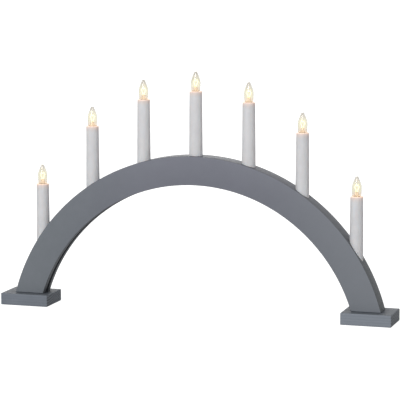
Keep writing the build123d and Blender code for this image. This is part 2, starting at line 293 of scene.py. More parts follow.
class Finish(Tree):
    """A material, with the places that its patterns read and the shader that shows them."""

    def __init__(self, name):
        self.material = bpy.data.materials.new(name)
        self.material.use_nodes = True
        super().__init__(self.material.node_tree)
        self.shader = self.tree.nodes["Principled BSDF"]
        self.coordinates = self.add("ShaderNodeTexCoord").outputs
        self.place = self.coordinates["Object"]

    def split(self, vector):
        """The X, Y and Z of a vector, each as a value of its own."""
        return self.add("ShaderNodeSeparateXYZ", {0: vector}).outputs

    def moved(self, scale=(1, 1, 1), location=(0, 0, 0)):
        """Object coordinates, stretched and then shifted."""
        values = {"Vector": self.place, "Scale": scale, "Location": location}
        return self.add("ShaderNodeMapping", values).outputs["Vector"]

    def noise(self, scale, detail=3.0, roughness=0.5, place=None):
        """A soft noise with a number of cycles per metre."""
        values = {"Scale": scale, "Detail": detail, "Roughness": roughness}
        node = self.add("ShaderNodeTexNoise", values)
        self.feed(node.inputs["Vector"], place or self.place)
        return node.outputs["Fac"]

    def spread(self, noise, start=0.0, end=1.0):
        """Spreads a noise, which seldom leaves its middle range, from start to end."""
        return self.ramp(noise, NOISE_LOW, NOISE_HIGH, start, end)

    def relief(self, height, depth, strength=1.0):
        """Bumps of a real depth in metres."""
        values = {"Height": height, "Distance": depth, "Strength": strength}
        bump = self.add("ShaderNodeBump", values)
        self.feed(self.shader.inputs["Normal"], bump.outputs["Normal"])

    def surface(self, **values):
        """Sets sockets of the shader by name, with spaces written as underscores."""
        for key, value in values.items():
            self.feed(self.shader.inputs[key.replace("_", " ")], value)
        return self.material


def shade(red, green, blue):
    """A screen's colour, from 0 to 255, as the linear sRGB colour that a node takes."""
    parts = [part / 255 for part in (red, green, blue)]
    light = [p / 12.92 if p <= 0.04045 else ((p + 0.055) / 1.055) ** 2.4 for p in parts]
    return light + [1.0]


print("A middle grey of 128 is", round(shade(128, 128, 128)[0], 3), "in linear light")

# %% [markdown]
# The bow is painted a cool grey. Sprayed or rolled paint is never quite even: it has a
# faint cloudiness over a hand's width, a fine orange peel, and it wears thin along the
# sharp edges. A painted texture would need an unwrapped mesh. Here the edges are found
# by arithmetic instead, since the distance from the bow's centre tells how far a point
# is from its inner and outer rim.

# %% Bow sizes from the frame
bow_low, bow_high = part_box("arch")
foot_top = bow_low.z
bow_rise = bow_high.z - foot_top
bow_radius = (bow_high.x**2 + bow_rise**2) / (2 * bow_rise)
bow_centre = bow_high.z - bow_radius
bow_half_depth = bow_high.y
BOW_WIDTH = 43.5 * MM
GROOVE_WIDTH = 9.5 * MM
GROOVE_DEPTH = 12 * MM
inner_radius = bow_radius - BOW_WIDTH
ceiling_radius = inner_radius + GROOVE_DEPTH
half_groove = GROOVE_WIDTH / 2
print("Bow radius:", round(bow_radius, 4), "centre height:", round(bow_centre, 4))

# %% Places on the bow
RIM_WEAR = 2.2 * MM
RIM_BARE = 0.4 * MM
FACE_WEAR = 2.0 * MM
FACE_BARE = 0.3 * MM


def reach_from_centre(paint):
    """How far a point is from the line that the bow is spun round."""
    from_centre = paint.moved(location=(0, 0, -bow_centre))
    sideways = {0: from_centre, 1: (1, 0, 1)}
    flat = paint.add("ShaderNodeVectorMath", sideways, operation="MULTIPLY")
    length = paint.add("ShaderNodeVectorMath", {0: flat.outputs[0]}, operation="LENGTH")
    return length.outputs["Value"]


def find_worn_edges(paint, reach, off_middle, patches):
    """The four long edges, in the patches where the coat is thin."""
    outer = paint.ramp(reach, bow_radius - RIM_WEAR, bow_radius - RIM_BARE)
    inner = paint.ramp(reach, inner_radius + RIM_BARE, inner_radius + RIM_WEAR, 1.0, 0.0)
    face = paint.ramp(off_middle, bow_half_depth - FACE_WEAR, bow_half_depth - FACE_BARE)
    edges = paint.times(paint.larger(outer, inner), face)
    return paint.times(edges, paint.ramp(patches, 0.42, 0.62))


print("Groove ceiling radius:", round(ceiling_radius, 4))

# %% Colour of the bow
BOW_GREY = shade(117, 119, 129)
BOW_CLOUD = shade(123, 125, 135)
LEFT_GREY = shade(112, 118, 123)
RIGHT_GREY = shade(128, 133, 137)
LOW_GREY = shade(120, 125, 131)
THIN_COAT = shade(126, 130, 138)


def colour_bow(paint, at, patches):
    """A cloudy grey, greener on the left leg and lighter on the right, drawn towards a
    middle grey near the feet, with patches of thinner coat.
    """
    tone = paint.blend(paint.spread(paint.noise(9, 4)), BOW_GREY, BOW_CLOUD)
    on_left = paint.ramp(at["X"], -0.27, -0.03, 0.9, 0.0)
    tone = paint.blend(on_left, tone, LEFT_GREY)
    on_right = paint.ramp(at["X"], 0.05, 0.25, 0.0, 0.5)
    tone = paint.blend(on_right, tone, RIGHT_GREY)
    low_down = paint.ramp(at["Z"], foot_top, 0.2, 0.5, 0.0)
    tone = paint.blend(low_down, tone, LOW_GREY)
    thin = paint.ramp(patches, 0.35, 0.75, 0.0, 0.25)
    return paint.blend(thin, tone, THIN_COAT)


print("Greys on the bow's faces: 6")

# %% [markdown]
# The finish paints shade onto the bow where less light reaches it: on the top of the bow,
# underneath, in the groove, and in the joints with the feet. A studio lamp overhead would
# light those tops more than the photograph does, so this painted shade takes some of that
# away again.

# %% Painted shade on the bow
TOP_SHADE_LOW = shade(76, 80, 83)
TOP_SHADE = shade(92, 94, 100)
CROWN_SHADE = shade(72, 74, 80)
UNDERSIDE_SHADE = shade(66, 68, 72)
GROOVE_SHADE = shade(58, 60, 64)
JOINT_SHADE = shade(66, 74, 88)


def top_shade_colour(paint, height):
    """The painted shade on the top, which is lightest between the legs and the crown."""
    tone = paint.blend(paint.ramp(height, 0.06, 0.18), TOP_SHADE_LOW, TOP_SHADE)
    return paint.blend(paint.ramp(height, 0.2, bow_high.z - 2 * MM), tone, CROWN_SHADE)


def paint_shade_on_bow(paint, tone, reach, off_middle, height):
    """Paints shade onto the top, the underside, the groove and the joints with the feet."""
    # Painted shade: the top is darkened where the overhead lamp lights it more.
    top = paint.ramp(reach, bow_radius - 0.5 * MM, bow_radius - 0.2 * MM)
    tone = paint.blend(paint.times(top, 0.9), tone, top_shade_colour(paint, height))
    # Painted shade underneath the bow, where little light reaches.
    underside_shade = paint.ramp(reach, inner_radius + 0.1 * MM, inner_radius + 0.5 * MM, 1.0, 0.0)
    tone = paint.blend(paint.times(underside_shade, 0.6), tone, UNDERSIDE_SHADE)
    # Painted shade inside the wiring groove, a recess that little light reaches.
    between = paint.ramp(off_middle, half_groove, half_groove + 0.1 * MM, 1.0, 0.0)
    below = paint.ramp(reach, ceiling_radius + 0.2 * MM, ceiling_radius + MM, 1.0, 0.0)
    tone = paint.blend(paint.times(paint.times(between, below), 0.8), tone, GROOVE_SHADE)
    # Painted shade along the joints with the feet, a painted contact shadow.
    joint_shade = paint.ramp(height, foot_top + 0.5 * MM, foot_top + 1.5 * MM, 1.0, 0.0)
    return paint.blend(paint.times(joint_shade, 0.5), tone, JOINT_SHADE)


print("Greys on the bow's darker places: 6")

# %% Bow paint
WORN_GREY = shade(150, 152, 157)


def make_bow_paint():
    paint = Finish("bow_paint")
    at = paint.split(paint.place)
    reach = reach_from_centre(paint)
    off_middle = paint.size_of(at["Y"])
    patches = paint.noise(55, 5, 0.6)
    tone = colour_bow(paint, at, patches)
    worn = find_worn_edges(paint, reach, off_middle, patches)
    tone = paint.blend(paint.times(worn, 0.15), tone, WORN_GREY)
    peel = paint.noise(900, 2)
    roller = paint.noise(260, 3)
    paint.relief(paint.plus(peel, roller), 0.05 * MM, 0.6)
    return paint.surface(
        Base_Color=paint_shade_on_bow(paint, tone, reach, off_middle, at["Z"]),
        Roughness=paint.spread(roller, 0.48, 0.6),
        Specular_IOR_Level=0.28,
    )


bow_paint = make_bow_paint()
print("Finish:", bow_paint.name)

# %% [markdown]
# The feet carry the same colour in a thinner coat, and the grain of the wood stands
# through it. Wood is a stack of growth rings round a distant pith, so ring-shaped waves
# about an axis nearly parallel to the board give long lines on its faces and slanting
# arcs on its ends, all from one pattern. A Wave texture multiplies its scale by 20 and
# counts in turns of two pi, so a scale of 78 sets the rings 4 mm apart. The ends drink
# more paint, so they are darker and rougher, and the direction that a face looks in
# tells which faces are ends.

# %% Grain of the feet
RING_SCALE = 78
WAVE_FACTOR = 20
PITH_PLACE = (0, 0.03, -0.11)
ALONG_GRAIN = 0.06
ALONG_FIBRE = 0.03
GRAIN_GREY = shade(100, 106, 114)
END_LINE_GREY = shade(62, 64, 68)
END_PORE_GREY = shade(84, 86, 90)
END_GREY = shade(70, 71, 73)


def find_late_wood(paint):
    """The dark part of each growth ring."""
    waves = {
        "Vector": paint.moved(scale=(ALONG_GRAIN, 1, 1), location=PITH_PLACE),
        "Scale": RING_SCALE,
        "Distortion": 2.2,
        "Detail": 3.0,
        "Detail Scale": 0.7,
    }
    kind = {"wave_type": "RINGS", "rings_direction": "X", "wave_profile": "SAW"}
    rings = paint.add("ShaderNodeTexWave", waves, **kind)
    return paint.ramp(rings.outputs["Fac"], 0.45, 0.95)


def draw_grain(paint, tone, late_wood, fibre, end_grain, to_right):
    """Long lines all over, and lines, pores and a darker coat on the ends."""
    long_lines = paint.plus(paint.ramp(fibre, 0.35, 0.7, 0.3, 0.0), late_wood)
    tone = paint.blend(paint.times(long_lines, 0.22), tone, GRAIN_GREY)
    end_lines = paint.times(late_wood, end_grain)
    tone = paint.blend(paint.times(end_lines, 0.8), tone, END_LINE_GREY)
    pores = paint.ramp(paint.noise(1400, 3, 0.6), 0.5, 0.7)
    tone = paint.blend(paint.times(paint.times(pores, end_grain), 0.3), tone, END_PORE_GREY)
    # The ends are darker on the right foot than on the left.
    end_darkening = paint.ramp(to_right, -0.1, 0.1, 0.14, 0.4)
    return paint.blend(paint.times(end_grain, end_darkening), tone, END_GREY)


ring_spacing = 2 * pi / (WAVE_FACTOR * RING_SCALE)
print("Millimetres from ring to ring:", round(ring_spacing / MM, 1))

# %% [markdown]
# The top of a foot is painted darker too, as painted shade, and most of all the corner
# where the leg stands on it, as a painted contact shadow. That corner is found from the
# leg's own outline, as a distance out from its sides and from its front.

# %% Painted shade on the feet
leg_outside = bow_high.x
leg_inside = sqrt(inner_radius**2 - (foot_top - bow_centre) ** 2)
CORNER_WIDTH = 14 * MM
FOOT_TOP_SHADE = shade(84, 88, 93)
CORNER_SHADOW = shade(46, 51, 60)


def paint_shade_on_foot(paint, tone, at):
    """Paints shade onto the top of a foot, and a painted contact shadow into the corner
    round the leg.
    """
    out_x = paint.size_of(at["X"])
    out_y = paint.size_of(at["Y"])
    past_leg = paint.larger(paint.minus(out_x, leg_outside), paint.minus(leg_inside, out_x))
    off_side = paint.larger(past_leg, 0.0)
    off_front = paint.larger(paint.minus(out_y, bow_half_depth), 0.0)
    on_top = paint.ramp(at["Z"], foot_top - 0.4 * MM, foot_top - 0.1 * MM)
    # Painted shade: the top of the foot is darkened.
    tone = paint.blend(paint.times(on_top, 0.9), tone, FOOT_TOP_SHADE)
    # Painted contact shadow in the corner round the leg, strongest beside it.
    leg_shadow_share = paint.ramp(paint.plus(off_side, off_front), 0.0, CORNER_WIDTH, 0.8, 0.0)
    beside_leg = paint.ramp(off_front, 0.0, 2 * MM, 1.0, 0.1)
    corner = paint.times(paint.times(leg_shadow_share, on_top), beside_leg)
    return paint.blend(corner, tone, CORNER_SHADOW)


print("A leg stands from", round(leg_inside, 4), "to", round(leg_outside, 4))

# %% Foot paint
FOOT_GREY = shade(119, 125, 134)
FOOT_CLOUD = shade(125, 131, 140)
RIGHT_FOOT_GREY = shade(137, 143, 152)


def make_foot_paint():
    paint = Finish("foot_paint")
    at = paint.split(paint.place)
    facing = paint.split(paint.coordinates["Normal"])
    end_grain = paint.ramp(paint.size_of(facing["X"]), 0.6, 0.9)
    late_wood = find_late_wood(paint)
    fibre = paint.noise(520, 4, 0.65, paint.moved(scale=(ALONG_FIBRE, 1, 1)))
    tone = paint.blend(paint.spread(paint.noise(24, 3)), FOOT_GREY, FOOT_CLOUD)
    tone = paint.blend(paint.ramp(at["X"], -0.1, 0.1), tone, RIGHT_FOOT_GREY)
    tone = draw_grain(paint, tone, late_wood, fibre, end_grain, at["X"])
    depth = paint.ramp(end_grain, 0.0, 1.0, 0.35, 1.0)
    paint.relief(paint.minus(fibre, paint.times(late_wood, depth)), 0.2 * MM, 0.8)
    return paint.surface(
        Base_Color=paint_shade_on_foot(paint, tone, at),
        Roughness=paint.ramp(fibre, 0.3, 0.8, 0.55, 0.7),
        Specular_IOR_Level=0.22,
    )


foot_paint = make_foot_paint()
print("Finish:", foot_paint.name)

# %% [markdown]
# The candles are thin white plastic. It lets some light through, so it is given a little
# subsurface scattering. Its top is painted a warmer tint and given a faint glow, painted
# light that stands in for the lamp shining into it. The glow follows a number stored on
# each vertex, the distance below the rim, because every candle stands at its own height.

# %% Candle plastic
BELOW_RIM = "below_rim"
GLOW_LENGTH = 11 * MM


def read_below_rim(finish):
    """The distance below the candle's rim, as it is stored on the piece."""
    return finish.add("ShaderNodeAttribute", attribute_name=BELOW_RIM).outputs["Fac"]


def make_candle_plastic():
    plastic = Finish("candle_plastic")
    below = read_below_rim(plastic)
    painted_lamp_glow = plastic.ramp(below, 0.0, GLOW_LENGTH, 1.0, 0.0)
    cloud = plastic.noise(70, 3)
    tone = plastic.blend(plastic.spread(cloud), shade(229, 225, 226), shade(234, 230, 231))
    # Painted light: the top of the tube is tinted warm, as if lit by the lamp.
    tone = plastic.blend(plastic.times(painted_lamp_glow, 0.7), tone, shade(222, 206, 200))
    draw_lines = plastic.noise(60, 3, 0.6, plastic.moved(scale=(9, 9, 0.5)))
    plastic.relief(draw_lines, 0.06 * MM, 0.5)
    # Painted light: the wall and rim glow faintly, though the tube is no lamp.
    wall_glow = plastic.times(plastic.arithmetic("POWER", painted_lamp_glow, 2.0), 0.1)
    rim_glow = plastic.ramp(below, 0.2 * MM, 1.5 * MM, 0.3, 0.0)
    return plastic.surface(
        Base_Color=tone,
        Roughness=plastic.spread(cloud, 0.38, 0.5),
        Specular_IOR_Level=0.3,
        Subsurface_Weight=0.6,
        Subsurface_Radius=(5.0, 4.2, 3.8),
        Subsurface_Scale=MM,
        Emission_Color=shade(255, 214, 178),
        Emission_Strength=plastic.plus(wall_glow, rim_glow),
    )


candle_plastic = make_candle_plastic()
print("Finish:", candle_plastic.name)

# %% [markdown]
# The small moulded and metal pieces are simpler. A moulding is slightly mottled, with
# the fine texture of its mould, and brass is brushed by the tool that rolled it. Pieces
# of one kind share a recipe, and differ in their two colours and their roughness.

# %% Small finishes


def add_mould_texture(plastic):
    """The fine texture that a mould leaves on plastic."""
    plastic.relief(plastic.noise(1500, 2), 0.02 * MM, 0.5)


def make_holder_plastic():
    plastic = Finish("holder_plastic")
    mottle = plastic.noise(300, 3)
    add_mould_texture(plastic)
    return plastic.surface(
        Base_Color=plastic.blend(mottle, shade(214, 202, 194), shade(228, 216, 208)),
        Roughness=plastic.spread(mottle, 0.4, 0.52),
        Specular_IOR_Level=0.3,
        # Painted light: the top of the holder glows faintly, standing in for the lamp
        # shining on it.
        Emission_Color=shade(255, 216, 184),
        Emission_Strength=plastic.ramp(read_below_rim(plastic), 0.0, 5 * MM, 0.5, 0.0),
    )


def make_moulding(name, light, dark, roughness):
    moulding = Finish(name)
    mottle = moulding.noise(300, 3)
    add_mould_texture(moulding)
    return moulding.surface(
        Base_Color=moulding.blend(moulding.spread(mottle), dark, light),
        Roughness=moulding.spread(mottle, roughness, roughness + 0.12),
        IOR=1.5,
    )


def make_metal(name, bright, dull, roughness):
    metal = Finish(name)
    tarnish = metal.noise(350, 4, 0.6)
    rolled = metal.noise(500, 2, 0.5, metal.moved(scale=(1, 1, 9)))
    metal.relief(rolled, 0.015 * MM, 0.5)
    return metal.surface(
        Base_Color=metal.blend(metal.ramp(tarnish, 0.35, 0.7), bright, dull),
        Metallic=1.0,
        Roughness=metal.ramp(tarnish, 0.35, 0.7, roughness, roughness + 0.2),
    )


holder_plastic = make_holder_plastic()
wire_skin = make_moulding(
    "wire_insulation", shade(222, 222, 218), shade(206, 206, 202), 0.38
)
clip_plastic = make_moulding(
    "clip_plastic", shade(205, 205, 200), shade(190, 190, 186), 0.45
)
contact_brass = make_metal("contact_brass", shade(222, 190, 120), shade(168, 132, 76), 0.24)
cap_brass = make_metal("cap_brass", shade(226, 198, 134), shade(176, 142, 88), 0.2)
screw_steel = make_metal("screw_steel", shade(206, 206, 210), shade(150, 150, 156), 0.28)
print("Small finishes: 6")

# %% [markdown]
# A lit lamp could be one glowing shape, but a real one is clear glass round a small bright
# wire. So the glass bends light and mirrors the room. Its edge, where it is seen at a
# grazing angle, and its tip are also painted a little duller, as painted shade. It is
# painted warmer towards the cap, as painted light, and frosts there a little. The stem
# inside is milky. The filament is the lamp, and the glass and the stem carry a faint
# painted glow besides.

# %% Lamp glass finish


def colour_glass(glass, height, low, painted_glow):
    """Clear glass, with painted shade at its edge and tip, a painted glow in its lower part
    and painted warm light at its foot.
    """
    tip = glass.ramp(height, 22 * MM, 29 * MM)
    grazing = glass.add("ShaderNodeLayerWeight", {"Blend": 0.5}).outputs["Facing"]
    # Painted shade: the edge is painted duller where it is seen at a grazing angle.
    edge = glass.ramp(grazing, 0.12, 0.75)
    # Painted light: the lower part of the glass is painted a brighter, warmer white, as a
    # glow.
    tone = glass.blend(painted_glow, shade(249, 246, 240), shade(255, 253, 240))
    tone = glass.blend(edge, tone, shade(248, 247, 239))
    # Painted shade: the tip is painted duller.
    tone = glass.blend(glass.times(tip, 0.8), tone, shade(236, 233, 228))
    # Painted light: the foot of the glass is painted warm, for the warm light reflected
    # from the holder and stem.
    return glass.blend(glass.times(low, 0.9), tone, shade(247, 241, 232))


def make_lamp_glass():
    glass = Finish("lamp_glass")
    height = glass.times(read_below_rim(glass), -1.0)
    low = glass.ramp(height, 4.5 * MM, 8 * MM, 1.0, 0.0)
    painted_glow = glass.ramp(height, 15 * MM, 26 * MM, 1.0, 0.0)
    seeds = glass.noise(260, 2)
    glass.relief(seeds, 0.03 * MM, 0.4)
    return glass.surface(
        Base_Color=colour_glass(glass, height, low, painted_glow),
        Roughness=glass.plus(glass.spread(seeds, 0.02, 0.05), glass.times(low, 0.15)),
        IOR=1.47,
        Specular_Tint=shade(226, 224, 216),
        Transmission_Weight=1.0,
        # Painted light: the glass itself glows faintly, most near its foot, though only the
        # filament is a lamp.
        Emission_Color=glass.blend(low, shade(255, 236, 180), shade(255, 236, 218)),
        Emission_Strength=glass.plus(glass.times(painted_glow, 0.02), glass.times(low, 0.03)),
    )


lamp_glass = make_lamp_glass()
print("Finish:", lamp_glass.name)

# %% Stem, filament and contact finishes


def make_stem_glass():
    glass = Finish("stem_glass")
    smoke = glass.noise(400, 3)
    return glass.surface(
        Base_Color=glass.blend(smoke, shade(244, 236, 224), shade(250, 244, 234)),
        Roughness=glass.spread(smoke, 0.3, 0.45),
        IOR=1.5,
        Transmission_Weight=0.5,
        # Painted light: the stem glows faintly, though it is no lamp.
        Emission_Color=shade(255, 222, 184),
        Emission_Strength=0.1,
    )


def make_filament():
    filament = Finish("filament")
    flicker = filament.noise(900, 2)
    return filament.surface(
        Base_Color=shade(255, 226, 180),
        Roughness=0.5,
        Emission_Color=filament.blend(flicker, shade(255, 205, 128), shade(255, 226, 168)),
        Emission_Strength=4.0,
    )


def make_lamp_contact():
    contact = Finish("lamp_contact")
    mottle = contact.noise(700, 3)
    contact.relief(mottle, 0.04 * MM, 0.7)
    tone = contact.blend(contact.spread(mottle), shade(28, 28, 31), shade(52, 52, 56))
    return contact.surface(
        Base_Color=tone,
        Roughness=contact.spread(mottle, 0.12, 0.4),
        IOR=1.55,
    )


stem_glass = make_stem_glass()
glowing = make_filament()
contact_black = make_lamp_contact()
print("Stem, filament and contact finishes: 3")

# %% [markdown]
# Pieces that already have their right shape in CAD keep it, and only get a finish: the
# feet and all the small hardware, whose edges and curves are fine enough as they are.

# %% Dress the CAD pieces


def dress(name, material):
    """Gives a CAD piece one material."""
    piece = nodes[name]
    piece.data.materials.clear()
    piece.data.materials.append(material)


for name in ("foot_left", "foot_right"):
    dress(name, foot_paint)
dress("foot_screws", screw_steel)
dress("wire_clips", clip_plastic)
dress("screw_shells", contact_brass)
dress("contact_tongues", contact_brass)
for name in nodes:
    if name.endswith("_wire") or name.startswith("link_wire"):
        dress(name, wire_skin)
    if name.startswith("lamp_contact"):
        dress(name, contact_black)
    if name.startswith("lamp_filament"):
        dress(name, glowing)
print("CAD pieces dressed")

# %% [markdown]
# The bow is one board, so it is modelled as a cross-section that is carried round the
# arc. The section is an upside-down U, because the wiring groove is part of it: drawing
# the groove once and spinning it is cleaner than cutting it out afterwards. Its corners
# are rounded before the spin, which rounds every long edge at once. Half a bow is spun,
# sawn off level a little above the foot, and mirrored. The sawn face is inset and
# pushed down to the foot, which leaves a small chamfer round it.

# %% Bow, spun from its section
CORNER_ROUND = 0.6 * MM
CORNER_STEPS = 3
END_CHAMFER = 0.4 * MM
SPIN_ANGLE = radians(75)
SPIN_STEPS = 90
SEAM_DISTANCE = MM / 100


def draw_section():
    """The bow's section at the crown, with the groove open below."""
    bottom = bow_centre + inner_radius
    ceiling = bottom + GROOVE_DEPTH
    top = bow_high.z
    section = [
        (0, -bow_half_depth, bottom),
        (0, -half_groove, bottom),
        (0, -half_groove, ceiling),
        (0, half_groove, ceiling),
        (0, half_groove, bottom),
        (0, bow_half_depth, bottom),
        (0, bow_half_depth, top),
        (0, -bow_half_depth, top),
    ]
    return draw_outline("bow", section, closed=True)


def saw_end(bow):
    """In edit mode, saws the spun bow off level and chamfers the sawn face."""
    saw_height = foot_top + END_CHAMFER
    bpy.ops.mesh.select_all(action="SELECT")
    bpy.ops.mesh.bisect(
        plane_co=(0, 0, saw_height), plane_no=(0, 0, 1), use_fill=True, clear_inner=True
    )
    pick(bow, "FACE", lambda at: at.z < saw_height + MM / 1000)
    bpy.ops.mesh.inset(thickness=END_CHAMFER, depth=END_CHAMFER)


def spin_bow():
    bow = draw_section()
    pick(bow, "VERT", lambda at: abs(at.y) > half_groove + MM)
    bpy.ops.mesh.bevel(affect="VERTICES", offset=CORNER_ROUND, segments=CORNER_STEPS)
    bpy.ops.mesh.select_all(action="SELECT")
    bpy.ops.mesh.spin(
        steps=SPIN_STEPS, angle=SPIN_ANGLE, center=(0, 0, bow_centre), axis=(0, 1, 0)
    )
    saw_end(bow)
    bpy.ops.mesh.select_all(action="SELECT")
    bpy.ops.mesh.normals_make_consistent(inside=False)
    bpy.ops.object.mode_set(mode="OBJECT")
    across = (True, False, False)
    add_modifier(bow, "MIRROR", use_axis=across, merge_threshold=SEAM_DISTANCE)
    return bow


bow = spin_bow()
print("Bow faces:", len(bow.data.polygons))

# %% [markdown]
# Seven bores take the candles, seven narrower holes let the wires down into the groove,
# and one hole at the back lets the mains cord in. They are drilled as on the bench:
# cutters of the right size are set in place and taken away with a Boolean. The bores and
# the wire holes overlap each other, so they are drilled in two passes.

# %% Candle places from the frame
CANDLES = range(1, 8)
candle_places = {}
for number in CANDLES:
    low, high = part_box(f"candle_tube_{number}")
    candle_places[number] = Vector(((low.x + high.x) / 2, 0, high.z))
tube_low, tube_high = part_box("candle_tube_4")
tube_length = tube_high.z - tube_low.z
tube_foot_radius = (tube_high.x - tube_low.x) / 2
print("Candle length:", round(tube_length, 4), "foot radius:", round(tube_foot_radius, 4))

# %% Drilling helpers
DRILL_SIDES = 64


def add_drill(radius, low, high):
    """A round cutter between two points that lie above each other or in line with Y."""
    run = Vector(high) - Vector(low)
    turn = (pi / 2, 0, 0) if abs(run.y) > abs(run.z) else (0, 0, 0)
    bpy.ops.mesh.primitive_cylinder_add(
        vertices=DRILL_SIDES,
        radius=radius,
        depth=run.length,
        location=(Vector(low) + Vector(high)) / 2,
        rotation=turn,
    )
    return bpy.context.object


def drill(piece, cutters):
    """Takes a set of cutters away from a piece, and removes them."""
    clear_selection()
    for cutter in cutters:
        cutter.select_set(True)
    bpy.context.view_layer.objects.active = cutters[0]
    if len(cutters) > 1:
        bpy.ops.object.join()
    bit = bpy.context.view_layer.objects.active
    add_modifier(piece, "BOOLEAN", operation="DIFFERENCE", solver="EXACT", object=bit)
    take(bit)
    bpy.ops.object.delete()


print("Drills have", DRILL_SIDES, "sides")

# %% Drill the bow
TUBE_CLEARANCE = 0.2 * MM
WIRE_HOLE_RADIUS = 4.5 * MM
INLET_RADIUS = 3 * MM
INLET_HEIGHT = 30 * MM
DRILL_REACH = 20 * MM
OVERRUN = 1 * MM


def groove_height(x):
    """Height of the groove's ceiling at a distance from the middle of the bow."""
    return bow_centre + sqrt(ceiling_radius**2 - x**2)


bores, wire_holes = [], []
for place in candle_places.values():
    seat = Vector((place.x, 0, place.z - tube_length))
    bores.append(add_drill(tube_foot_radius + TUBE_CLEARANCE, seat, place))
    hole_foot = groove_height(abs(place.x) + WIRE_HOLE_RADIUS) - OVERRUN
    hole_top = seat.z + OVERRUN
    wire_holes.append(
        add_drill(WIRE_HOLE_RADIUS, (place.x, 0, hole_foot), (place.x, 0, hole_top))
    )
route_radius = inner_radius + GROOVE_DEPTH / 2
inlet_x = sqrt(route_radius**2 - (INLET_HEIGHT - bow_centre) ** 2)
inlet = Vector((inlet_x, 0, INLET_HEIGHT))
wire_holes.append(add_drill(INLET_RADIUS, inlet, inlet + Vector((0, DRILL_REACH, 0))))
drill(bow, bores)
drill(bow, wire_holes)
smooth(bow)
bow.data.materials.append(bow_paint)
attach(bow, "root")
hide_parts("arch")
print("Drilled bow faces:", len(bow.data.polygons))

# %% [markdown]
# A candle tube is turned on the lathe: its outline runs up the outside, over a rounded
# rim, down to the ledge that carries the lampholder, and down the inside. It is made
# once, with its rim at the origin, and copied to the seven places.

# %% Copies at each candle


def store_depth(piece):
    """Keeps each vertex's distance below the rim, for the finishes that need it."""
    values = [-vertex.co.z for vertex in piece.data.vertices]
    layer = piece.data.attributes.new(BELOW_RIM, "FLOAT", "POINT")
    layer.data.foreach_set("value", values)


def copy_to_candles(master, body, replaced):
    """Copies a piece to each candle, each with its own mesh, and removes the master."""
    for number, place in candle_places.items():
        take(master)
        bpy.ops.object.duplicate()
        twin = name_new(f"{master.name}_{number}")
        twin.location = place
        bpy.ops.object.transform_apply(location=True, rotation=True, scale=True)
        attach(twin, body.format(number))
        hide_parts(replaced.format(number))
    take(master)
    bpy.ops.object.delete()


print("Copies go to", len(candle_places), "candles")

# %% Candle tubes
TUBE_TOP_RADIUS = 9.5 * MM
TUBE_WALL = 1.2 * MM
TUBE_STEPS = 96
RIM_WALL = 0.8 * MM
RIM_ROUND = 0.3 * MM
RIM_POINTS = 5
LEDGE_WIDTH = 0.8 * MM
LEDGE_TOP = 1.5 * MM
LEDGE_HEIGHT = 3.5 * MM


def make_tube():
    rim_inside = TUBE_TOP_RADIUS - RIM_WALL
    ledge_inside = rim_inside - LEDGE_WIDTH
    ledge_foot = LEDGE_TOP + LEDGE_HEIGHT
    outer_round = bend_points(
        (TUBE_TOP_RADIUS, -RIM_ROUND),
        (TUBE_TOP_RADIUS, -RIM_ROUND / 2),
        (TUBE_TOP_RADIUS - RIM_ROUND / 2, 0),
        (TUBE_TOP_RADIUS - RIM_ROUND, 0),
        RIM_POINTS,
    )
    outline = [
        (tube_foot_radius - TUBE_WALL, -tube_length),
        (tube_foot_radius, -tube_length),
        *outer_round,
        (rim_inside, 0),
        (rim_inside, -LEDGE_TOP),
        (ledge_inside, -LEDGE_TOP),
        (ledge_inside, -ledge_foot),
        (TUBE_TOP_RADIUS - TUBE_WALL, -ledge_foot),
        (tube_foot_radius - TUBE_WALL, -tube_length),
    ]
    tube = turn_on_lathe("candle", outline, TUBE_STEPS)
    smooth(tube)
    store_depth(tube)
    tube.data.materials.append(candle_plastic)
    return tube


copy_to_candles(make_tube(), "root", "candle_tube_{}")
print("Candle tubes:", len(candle_places))

# %% [markdown]
# A lampholder is a moulded plug that hangs in the tube by its flange. Its mouth is a
# funnel that guides the lamp in, and two slots below let the wires in. The plug is
# turned, and the slots are cut by two rounded blocks.

# %% Lampholder, turned
HOLDER_LENGTH = 26 * MM
HOLDER_RADIUS = 7.8 * MM
HOLDER_EDGE = 0.25 * MM
HOLDER_STEPS = 64
FLANGE_RADIUS = 8.6 * MM
FLANGE_RECESS = 0.3 * MM
MOUTH_RADIUS = 6.9 * MM
MOUTH_DEPTH = 3 * MM
SOCKET_RADIUS = 5.15 * MM
SOCKET_DEPTH = 14.5 * MM


def turn_holder():
    outline = [
        (0, -HOLDER_LENGTH),
        (HOLDER_RADIUS - 2 * HOLDER_EDGE, -HOLDER_LENGTH),
        (HOLDER_RADIUS, -HOLDER_LENGTH + 2 * HOLDER_EDGE),
        (HOLDER_RADIUS, -LEDGE_TOP),
        (FLANGE_RADIUS, -LEDGE_TOP),
        (FLANGE_RADIUS, -FLANGE_RECESS - HOLDER_EDGE),
        (FLANGE_RADIUS - HOLDER_EDGE, -FLANGE_RECESS),
        (MOUTH_RADIUS + HOLDER_EDGE, -FLANGE_RECESS),
        (MOUTH_RADIUS - HOLDER_EDGE, -FLANGE_RECESS - HOLDER_EDGE),
        (SOCKET_RADIUS, -MOUTH_DEPTH),
        (SOCKET_RADIUS, -SOCKET_DEPTH),
        (0, -SOCKET_DEPTH),
    ]
    return turn_on_lathe("holder", outline, HOLDER_STEPS)


holder = turn_holder()
print("Lampholder faces:", len(holder.data.polygons))

# %% Slots of the lampholder
SLOT_LENGTH = 7 * MM
SLOT_WIDTH = 2.4 * MM
SLOT_PLACE = 2 * MM
SLOT_ROUND = 0.49 * SLOT_WIDTH
SLOT_ROUND_STEPS = 6


